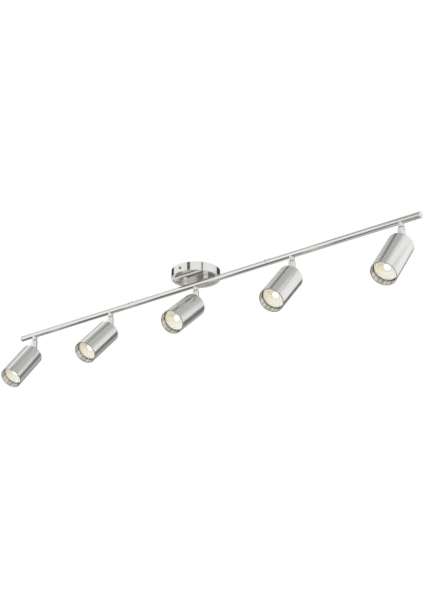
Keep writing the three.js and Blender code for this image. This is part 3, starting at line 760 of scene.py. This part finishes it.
def fork_cuts():
    """The slot between the cheeks, the spigot's bore and the rivet's, and the pivot screw's two bores."""
    half, far = FORK["slot"] / 2, FORK["radius"] + PAST
    slot_top = -PIVOT_DROP + FORK["slot_top"]
    head_seat = FORK["radius"] - PIVOT["height"] - 2 * GAP
    return [
        block((-half, half), (-far, far), (-PIVOT_DROP - FORK["radius"] - PAST, slot_top)),
        round_hole(COLLAR["spigot"] + GAP, RIVET["seat"] - LAP, COLLAR["bottom"] + PAST),
        round_hole(RIVET["radius"] + GAP, slot_top - LAP, RIVET["seat"], 48),
        moved(along(round_hole(PIVOT["shank"] + GAP, -far, far), "X"), z=-PIVOT_DROP),
        moved(along(round_hole(PIVOT["head"] + GAP, head_seat, far, 48), "X"), z=-PIVOT_DROP),
    ]


# ---- shapes of the head, hanging straight down, drawn with z = 0 on the tilt pivot ----

def shell_shape():
    """The cylinder: closed behind with an eased edge, open at the mouth, where its edge is hemmed."""
    radius, hem, hem_top = SHELL["radius"], SHELL["hem"], MOUTH + SHELL["hem_depth"]
    inner = radius - SHELL["wall"]
    return turned(rounded([
        (0, REAR), (radius, REAR, SHELL["edge"]), (radius, MOUTH, 0.25),
        (inner - hem, MOUTH, 0.25), (inner - hem, hem_top, 0.3), (inner, hem_top, 0.2),
        (inner, REAR_INNER, 0.8), (0, REAR_INNER),
    ], steps=8), 192)


def tongue_slot():
    half, wide = TONGUE["thickness"] / 2 + GAP, TONGUE["radius"] + GAP
    return block((-half, half), (-wide, wide), (REAR_INNER - PAST, REAR + PAST))


def socket_shape():
    """The lamp holder: a ceramic puck with a chamfer behind and a groove round its side."""
    radius, chamfer = SOCKET["radius"], SOCKET["chamfer"]
    inner = radius - SOCKET["groove_depth"]
    low, high = SOCKET_FRONT + SOCKET["groove"], SOCKET_FRONT + SOCKET["groove_end"]
    return turned(rounded([
        (0, SOCKET_BACK), (radius - chamfer, SOCKET_BACK, 0.5),
        (radius, SOCKET_BACK - chamfer, 0.5), (radius, high, 0.3),
        (inner, high), (inner, low), (radius, low, 0.3),
        (radius, SOCKET_FRONT, 0.6), (0, SOCKET_FRONT),
    ]), 72)


def pin_places(hole):
    return [moved(hole, x=PIN["from_middle"]), moved(hole, x=-PIN["from_middle"])]


def housing_shape():
    """The lamp's housing: flange, waist with cooling ribs, base. The dish's seat is hollowed in its front.

    The ribs draw the wall in by a wave of the turn, most at the waist and none at the flange and base."""
    radius, base, ease = LAMP["radius"], LAMP["base"], 3
    seat = FACE + LENS["thickness"] + GAP
    seat_radius, rim = LENS["radius"] + GAP, REFLECTOR["rim"] + GAP
    floor = FACE + REFLECTOR["depth"] + REFLECTOR["wall"] + 0.4
    flange, waist = FACE + LAMP["flange"], FACE + LAMP["waist"]
    bend, _ = curved((radius - LAMP["step"], flange), (radius - ease, FACE + LAMP["shoulder"]),
                     (base + ease, waist), 13)
    points, edge = turned(rounded([
        (0, floor), (REFLECTOR["ring"], floor), (rim, seat + 0.7), (rim, seat),
        (seat_radius, seat), (seat_radius, FACE, 0.15), (radius, FACE, 0.5),
        (radius, flange, 0.5), *bend, (base, FACE + LAMP["neck"]),
        (base, LAMP_BACK, 0.6), (0, LAMP_BACK),
    ]), 192)
    x, y, z = np.moveaxis(points, -1, 0)
    away = np.clip((z - flange) / ease, 0, 1) * np.clip((waist - z) / ease, 0, 1) * (np.hypot(x, y) > base)
    rib = 0.5 - 0.5 * np.sign(np.sin(LAMP["ribs"] * np.arctan2(y, x)) + 0.2)
    scale = 1 - away * rib * LAMP["rib_depth"]
    return np.stack([x * scale, y * scale, z], -1), edge


def pin_shape():
    """A headed contact pin, which stands in the lamp's base by its root."""
    radius, neck, low, high = PIN["radius"], PIN["neck"], LAMP_BACK - PIN["root"], LAMP_BACK + PIN["length"]
    head = high - PIN["head"]
    return turned(rounded([(0, low), (neck, low), (neck, head), (radius, head, 0.2),
                           (radius, high, 0.4), (0, high)]), 32)


def dish_shape():
    """The reflector: a thin dish from its rim down to a flat ring, its inner face dimpled by facets.

    A facet pushes the face back by a half sine of the turn times a half sine of the way down, and the
    outer face is plain."""
    rim, ring, steps = REFLECTOR["rim"], REFLECTOR["ring"], 41
    top, bottom = FACE + LENS["thickness"] + GAP + 0.1, FACE + REFLECTOR["depth"]
    back = bottom + REFLECTOR["wall"]
    face, share = curved((rim, top), ((rim + ring) / 2, FACE + REFLECTOR["waist"]), (ring, bottom), steps)
    points, edge = turned(rounded([
        (rim, top + 0.4), *face,
        (0, bottom), (0, back), (ring, back),
    ], closed=True), 224)
    x, y, z = np.moveaxis(points, -1, 0)
    down = np.interp(np.hypot(x, y), face[::-1, 0], share[::-1])
    facing = np.zeros(points.shape[:2])
    facing[1:steps + 1] = REFLECTOR["dimple"]
    round_wave = abs(np.sin(REFLECTOR["facets_round"] / 2 * np.arctan2(y, x)))
    down_wave = abs(np.sin(REFLECTOR["facets_down"] * math.pi * down))
    return np.stack([x, y, z + round_wave * down_wave * facing], -1), edge


def source_shape():
    """The domed light source on the dish's ring."""
    ring = FACE + REFLECTOR["depth"] - 0.05
    source = REFLECTOR["source"]
    share = np.linspace(0, math.pi / 2, 13)
    dome = [(source * math.sin(a), ring - REFLECTOR["rise"] * math.cos(a)) for a in share]
    return turned(rounded([*dome, (0, ring)]), 96)


def lens_shape():
    """The clear front: a flat back and a face that is crowned as a shallow cap."""
    radius, back = LENS["radius"], FACE + LENS["thickness"]
    share = np.linspace(0, 1, 13)
    face = [((radius - 0.5) * s, FACE + LENS["crown"] * s * s) for s in share]
    return turned(rounded([*face, (radius, FACE + LENS["crown"] + 0.5, 0.2), (radius, back, 0.2),
                           (0, back)]), 128)


def tongue_shape():
    """The flat tongue, half round above, drawn in Y and Z and as thick along X as the fork's slot allows."""
    radius, foot = TONGUE["radius"], REAR_INNER - GAP
    outline = rounded([(-radius, foot - 0.8), (-radius, radius, radius - 1e-3),
                       (radius, radius, radius - 1e-3), (radius, foot - 0.8)],
                      closed=True, steps=24)[:, :2]
    points, edge = extruded(outline, -TONGUE["thickness"] / 2, TONGUE["thickness"] / 2, 0.35)
    return points[..., [2, 0, 1]], edge


def stirrup_shape():
    """The stirrup: a flat strip bent into a four-cornered ring, open along Y."""
    wide, high, low, thick = STIRRUP["width"] / 2, REAR_INNER - GAP, SOCKET_BACK + GAP, STIRRUP["thickness"]
    outer, inner = (rounded([(x, z, fillet) for x, z in
                             ((-wide + inset, low + inset), (wide - inset, low + inset),
                              (wide - inset, high - inset), (-wide + inset, high - inset))],
                            closed=True, steps=8)[:, :2] for inset, fillet in ((0, 2), (thick, 0.5)))
    middle, deep = (outer + inner) / 2, STIRRUP["depth"] / 2
    lines = [(outer, -deep + EASE), (outer, deep - EASE), (middle, deep), (inner, deep - EASE),
             (inner, -deep + EASE), (middle, -deep), (outer, -deep + EASE)]
    points = np.stack([np.stack([line[:, 0], np.full(len(line), y), line[:, 1]], 1) for line, y in lines])
    return points, np.zeros(points.shape[:2])


# ---- the fixture ----

def ceiling_end():
    pan, cuts = canopy_shape()
    made("canopy_pan", "canopy", pan, NICKEL, "fixture", cut=cuts)
    made("crossbar_strap", "crossbar", strap_shape(), ZINC, "fixture", cut=strap_cuts())
    wall = CANOPY["radius"] + GAP
    for side, sign in (("front", -1), ("back", 1)):
        made(f"canopy_{side}_screw", f"canopy_screw_{side}", screw(*CANOPY_SCREW), SCREW_NICKEL,
             "fixture",
             shift(0, sign * wall, -CANOPY["screw_depth"]) @ turn(90 * sign, "X"))
    ground = middle_mm("ground_screw")
    made("ground_screw_head", "ground_screw", screw(*GROUND_SCREW), GREEN, "fixture",
         shift(ground[0], ground[1], -STRAP["thickness"] - GAP))
    for side in ("left", "right"):
        place = shift(middle_mm(f"post_{side}")[0])
        made(f"post_{side}_tube", f"post_{side}", post_shape(), STEM_NICKEL,
             "fixture", place)
        made(f"post_{side}_hex_nut", f"post_nut_{side}", nut_shape(), ZINC, "fixture", place)


def rail():
    lie = shift(0, 0, RAIL_AXIS) @ turn(90, "Y")
    for part in ("left", "center", "right"):
        low, high = box_mm(f"rail_{part}")
        made(f"rail_{part}_tube", f"rail_{part}", tube_shape(low[0], high[0]), RAIL_NICKEL,
             "fixture", lie)
    for side, sign in (("left", -1), ("right", 1)):
        low, high = box_mm(f"rail_end_cap_{side}")
        flange = (high if sign < 0 else low)[0] + sign * CAP["spigot"]
        made(f"rail_{side}_end_plug", f"rail_end_cap_{side}", cap_shape(), NICKEL,
             "fixture", shift(flange, 0, RAIL_AXIS) @ turn(90 * sign, "Y"))
        for place in ("inner", "outer"):
            node = f"rail_screw_{side}_{place}"
            made(f"{node}_domed", node, screw(*RAIL_SCREW), STEM_NICKEL, "fixture",
                 shift(middle_mm(node)[0], 0, RAIL_AXIS + RAIL["radius"] + GAP) @ turn(180, "X"))
        joiner = frame["nodes"][f"rail_joiner_{side}"]
        joiner.data.materials.clear()
        joiner.data.materials.append(ZINC)


def spot(number):
    """One spot: its collar on the rail, its fork on the swivel, and the head, which most pieces ride on."""
    name = f"spot_{number}"
    tilt_joint, pan_joint = JOINTS[f"{name}_tilt"], JOINTS[f"{name}_pan"]
    pan = -PAN_REACH - pan_joint["range_deg"][0]
    tilt = TILT_REACH - tilt_joint["range_deg"][1]
    stem = shift(pan_joint["pos_m"][0] / MM, 0, RAIL_AXIS)
    swivel = stem @ turn(pan, "Z")
    head = swivel @ shift(0, 0, -PIVOT_DROP) @ turn(-tilt, "X")

    def piece(label, node, surface, finish, body=f"{name}_head", place=head, cut=()):
        made(f"{name}_{label}", f"{name}_{node}", surface, finish, body, place, cut)

    piece("stem_collar", "collar", collar_shape(), STEM_NICKEL, "fixture", stem)
    piece("stem_fork", "fork", fork_shape(), STEM_NICKEL, f"{name}_swivel", swivel,
          fork_cuts())
    seat = FORK["radius"] - PIVOT["height"] - GAP
    pivot = screw(PIVOT["shank"], seat + FORK["radius"] - PIVOT["end_inset"], PIVOT["head"], PIVOT["height"])
    piece("tilt_screw", "pivot_screw", pivot, STEM_NICKEL, f"{name}_swivel",
          swivel @ shift(seat, 0, -PIVOT_DROP) @ turn(-90, "Y"))
    reach = TONGUE["thickness"] / 2 + PAST
    pivot_hole = along(round_hole(PIVOT["shank"] + GAP, -reach, reach), "X")
    piece("bracket_tongue", "bracket", tongue_shape(), ZINC, cut=[pivot_hole])
    piece("bracket_stirrup", "bracket", stirrup_shape(), ZINC)
    piece("cylinder", "shell", shell_shape(), SHELL_NICKEL, cut=[tongue_slot()])
    pin_hole = round_hole(PIN["radius"] + GAP, SOCKET_FRONT - PAST, SOCKET_FRONT + PIN["length"] + GAP)
    piece("ceramic_socket", "socket", socket_shape(), CERAMIC, cut=pin_places(pin_hole))
    piece("lamp_housing", "lamp", housing_shape(), HOUSING)
    for side, pin in zip(("a", "b"), pin_places(pin_shape())):
        piece(f"lamp_pin_{side}", "lamp", pin, STEM_NICKEL)
    piece("lamp_dish", "lamp", dish_shape(), CREAM)
    piece("lamp_source", "lamp", source_shape(), SOURCE)
    piece("clear_lens", "lens", lens_shape(), GLASS)


ceiling_end()
rail()
for number in range(1, 6):
    spot(number)


# ---- studio ----

def card(name, points, colour, high=None):
    """A plain glowing card in metres that metal mirrors and nothing else sees.

    With high, its colour changes to that one from its lowest edge to its highest."""
    mesh = bpy.data.meshes.new(name)
    mesh.from_pydata(points, [], [(0, 1, 2, 3)])
    f = material(name)
    glow = rgb(*colour)
    if high:
        z = f.part(f.object(), "Z")
        levels = [point[2] for point in points]
        glow = f.mixed(f.between(z, min(levels), max(levels)), glow, rgb(*high))
    mesh.materials.append(f.surface(f.node("ShaderNodeEmission", {}, {"Color": glow, "Strength": 1.0})))
    thing = linked(name, mesh)
    thing.visible_camera = thing.visible_diffuse = thing.visible_shadow = False
    thing.visible_transmission = thing.visible_volume_scatter = False


def wall_card(name, x, y, z, colour, high=None):
    """An upright card between the pairs x, y and z, along their diagonal as seen from above."""
    card(name, [(x[0], y[0], z[0]), (x[1], y[1], z[0]), (x[1], y[1], z[1]), (x[0], y[0], z[1])], colour, high)


def level_card(name, height, corners, colour):
    card(name, [(x, y, height) for x, y in corners], colour)


def compass(degrees):
    return np.array([math.cos(math.radians(degrees)), math.sin(math.radians(degrees))])


def facing_card(name, side, distance, left, right, z, colour):
    """An upright card at a compass angle and a distance from the fixture, facing it. Left and right are how
    far it reaches as the angle grows, from its middle line."""
    out, across = compass(side) * distance, compass(side + 90)
    a, b = out + across * left, out + across * right
    wall_card(name, (a[0], b[0]), (a[1], b[1]), z, colour)


def studio():
    """Dark and light cards where metal mirrors them, and a pale floor far below."""
    facing_card("corner_strip_left", CAMERA_SIDE - 33, 1.0, -0.13, 0.13, (0.22, 1.0), (0.15, 0.15, 0.145))
    facing_card("corner_strip_right", CAMERA_SIDE + 33, 1.0, -0.12, 0.12, (0.22, 1.0), (0.27, 0.27, 0.265))
    behind = CAMERA_SIDE + 180
    facing_card("low_card_right", behind, 1.5, -0.12, 0.02, (-0.75, -0.618), (0.15, 0.15, 0.135))
    facing_card("low_card_left", behind, 1.5, 0.075, 0.16, (-0.75, -0.610), (0.22, 0.21, 0.17))
    wall_card("back_strip", (-0.09, 0.50), (1.2, 1.2), (-1.2, 0.38), (0.19, 0.19, 0.19))
    wall_card("back_strip_grey", (-0.50, -0.09), (1.2, 1.2), (-1.2, 0.38), (0.44, 0.44, 0.435))
    wall_card("back_board", (-0.55, 0.58), (1.3, 1.3), (0.40, 0.78), (0.07, 0.07, 0.07))
    wall_card("side_light", (0.95, 0.95), (-0.3, 2.2), (0.2, 1.6), (1.02, 1.02, 1.01), (0.50, 0.50, 0.50))
    level_card("roof_strip", 1.9, [(-0.02, -0.1), (0.28, -0.1), (-0.28, 0.75), (-0.62, 0.75)],
               (0.20, 0.20, 0.20))
    level_card("roof_light", 1.9, [(-1.7, -0.5), (-0.8, -0.5), (-0.8, 0.6), (-1.7, 0.6)], (0.98, 0.98, 0.97))
    level_card("roof_strip_front", 1.0, [(-0.82, -0.7), (0.05, -0.62), (0.05, -0.28), (-0.82, -0.28)],
               (0.10, 0.10, 0.10))
    level_card("floor_strip", -1.0, [(-1.75, -1.0), (0.1, -1.0), (0.1, -0.1), (-1.75, 0.7)],
               (0.15, 0.15, 0.145))
    level_card("floor_grey", -1.0, [(-0.9, -2.2), (0.4, -2.2), (0.4, -0.7), (-0.3, -0.7)],
               (0.52, 0.52, 0.515))
    floor = bpy.data.meshes.new("studio_floor")
    half, level = 9.0, -2.4
    corners = [(-half, -half, level), (half, -half, level), (half, half, level), (-half, half, level)]
    floor.from_pydata(corners, [], [(0, 1, 2, 3)])
    f = material("floor_pale")
    tone = f.noise(f.object(), 1.5, 3)
    floor.materials.append(f.coat(
        Base_Color=f.mixed(tone, rgb(0.93, 0.93, 0.92), rgb(0.96, 0.96, 0.955)), Roughness=0.8))
    thing = linked("studio_floor", floor)
    thing.visible_glossy = False


def world():
    """White to the camera, even light on the object, and for metal a room that darkens overhead and below."""
    w = bpy.data.worlds.new("studio_world")
    bpy.context.scene.world = w
    f = Finish(w, "ShaderNodeOutputWorld")
    direction = f.node("ShaderNodeTexCoord", {}, {}, "Generated")
    height = f.part(direction, "Z")
    stops = [(0.0, (0.78, 0.78, 0.77)), (0.06, (0.74, 0.74, 0.73)), (0.15, (0.48, 0.48, 0.47)),
             (0.27, (0.92, 0.92, 0.91)), (0.40, (1.05, 1.05, 1.04)), (0.66, (1.06, 1.06, 1.05)),
             (0.75, (0.88, 0.88, 0.875)), (0.82, (0.71, 0.71, 0.705)), (0.885, (0.60, 0.60, 0.595)),
             (1.0, (0.53, 0.53, 0.525))]
    room = f.node("ShaderNodeValToRGB", {"stops": stops}, {"Fac": height * 0.5 + 0.5})
    behind = f.node("ShaderNodeVectorMath", {"operation": "DOT_PRODUCT"},
                    {0: direction, 1: (*compass(CAMERA_SIDE + 180), 0.0)}, "Value")
    low_behind = f.between(behind, 0.45, 0.85) * f.between(height, -0.10, -0.30)
    room = f.mixed(low_behind, room, rgb(0.56, 0.545, 0.49))
    from_horizon = height.math("ABSOLUTE", height)
    horizon = f.between(behind, 0.70, 0.86) * f.between(from_horizon, 0.26, 0.16)
    room = f.mixed(horizon, room, rgb(0.38, 0.38, 0.375))
    from_band = height.math("ABSOLUTE", height - 0.39)
    band = f.between(behind, 0.52, 0.60) * f.between(from_band, 0.15, 0.11)
    room = f.mixed(band, room, rgb(0.05, 0.05, 0.05))
    glossy, straight, through = (f.node("ShaderNodeLightPath", {}, {}, f"Is {kind} Ray")
                                 for kind in ("Glossy", "Camera", "Transmission"))
    seen = f.mixed(glossy, rgb(0.80, 0.80, 0.79), room)
    seen = f.mixed((straight + through).clamped(), seen, rgb(1, 1, 1))
    f.surface(f.node("ShaderNodeBackground", {}, {"Color": seen, "Strength": 1.0}))


def lamp(name, place, aim, size, watts):
    data = bpy.data.lights.new(name, "AREA")
    data.shape, data.size, data.energy = "DISK", size, watts
    thing = linked(name, data)
    thing.location = place
    thing.rotation_euler = (Vector(aim) - Vector(place)).to_track_quat("-Z", "Y").to_euler()
    thing.visible_glossy = False


def camera():
    """The camera stands low in front of the spots, looks up, and keeps the rail's middle near its own."""
    up = math.radians(CAMERA["up"])
    right = Vector((*compass(CAMERA["heading"]), 0))
    level = Vector((*compass(CAMERA["heading"] + 90), 0))
    ahead = level * math.cos(up) + Vector((0, 0, math.sin(up)))
    down = ahead.cross(right)
    middle = Vector((0, 0, RAIL_AXIS * MM))
    place = middle + (right * CAMERA["right"] + down * CAMERA["down"] - ahead) * CAMERA["distance"]
    data = bpy.data.cameras.new("camera")
    data.lens, data.sensor_width, data.sensor_fit = CAMERA["lens"], 36, "HORIZONTAL"
    data.clip_end = 50
    thing = linked("camera", data)
    thing.matrix_world = Matrix.Translation(place) @ Matrix((right, -down, -ahead)).transposed().to_4x4()
    bpy.context.scene.camera = thing


camera()
studio()
world()
lamp("key", (-1.4, -2.2, 0.9), (0, 0, -0.1), 1.6, 22)
bpy.context.scene.view_settings.view_transform = "Standard"
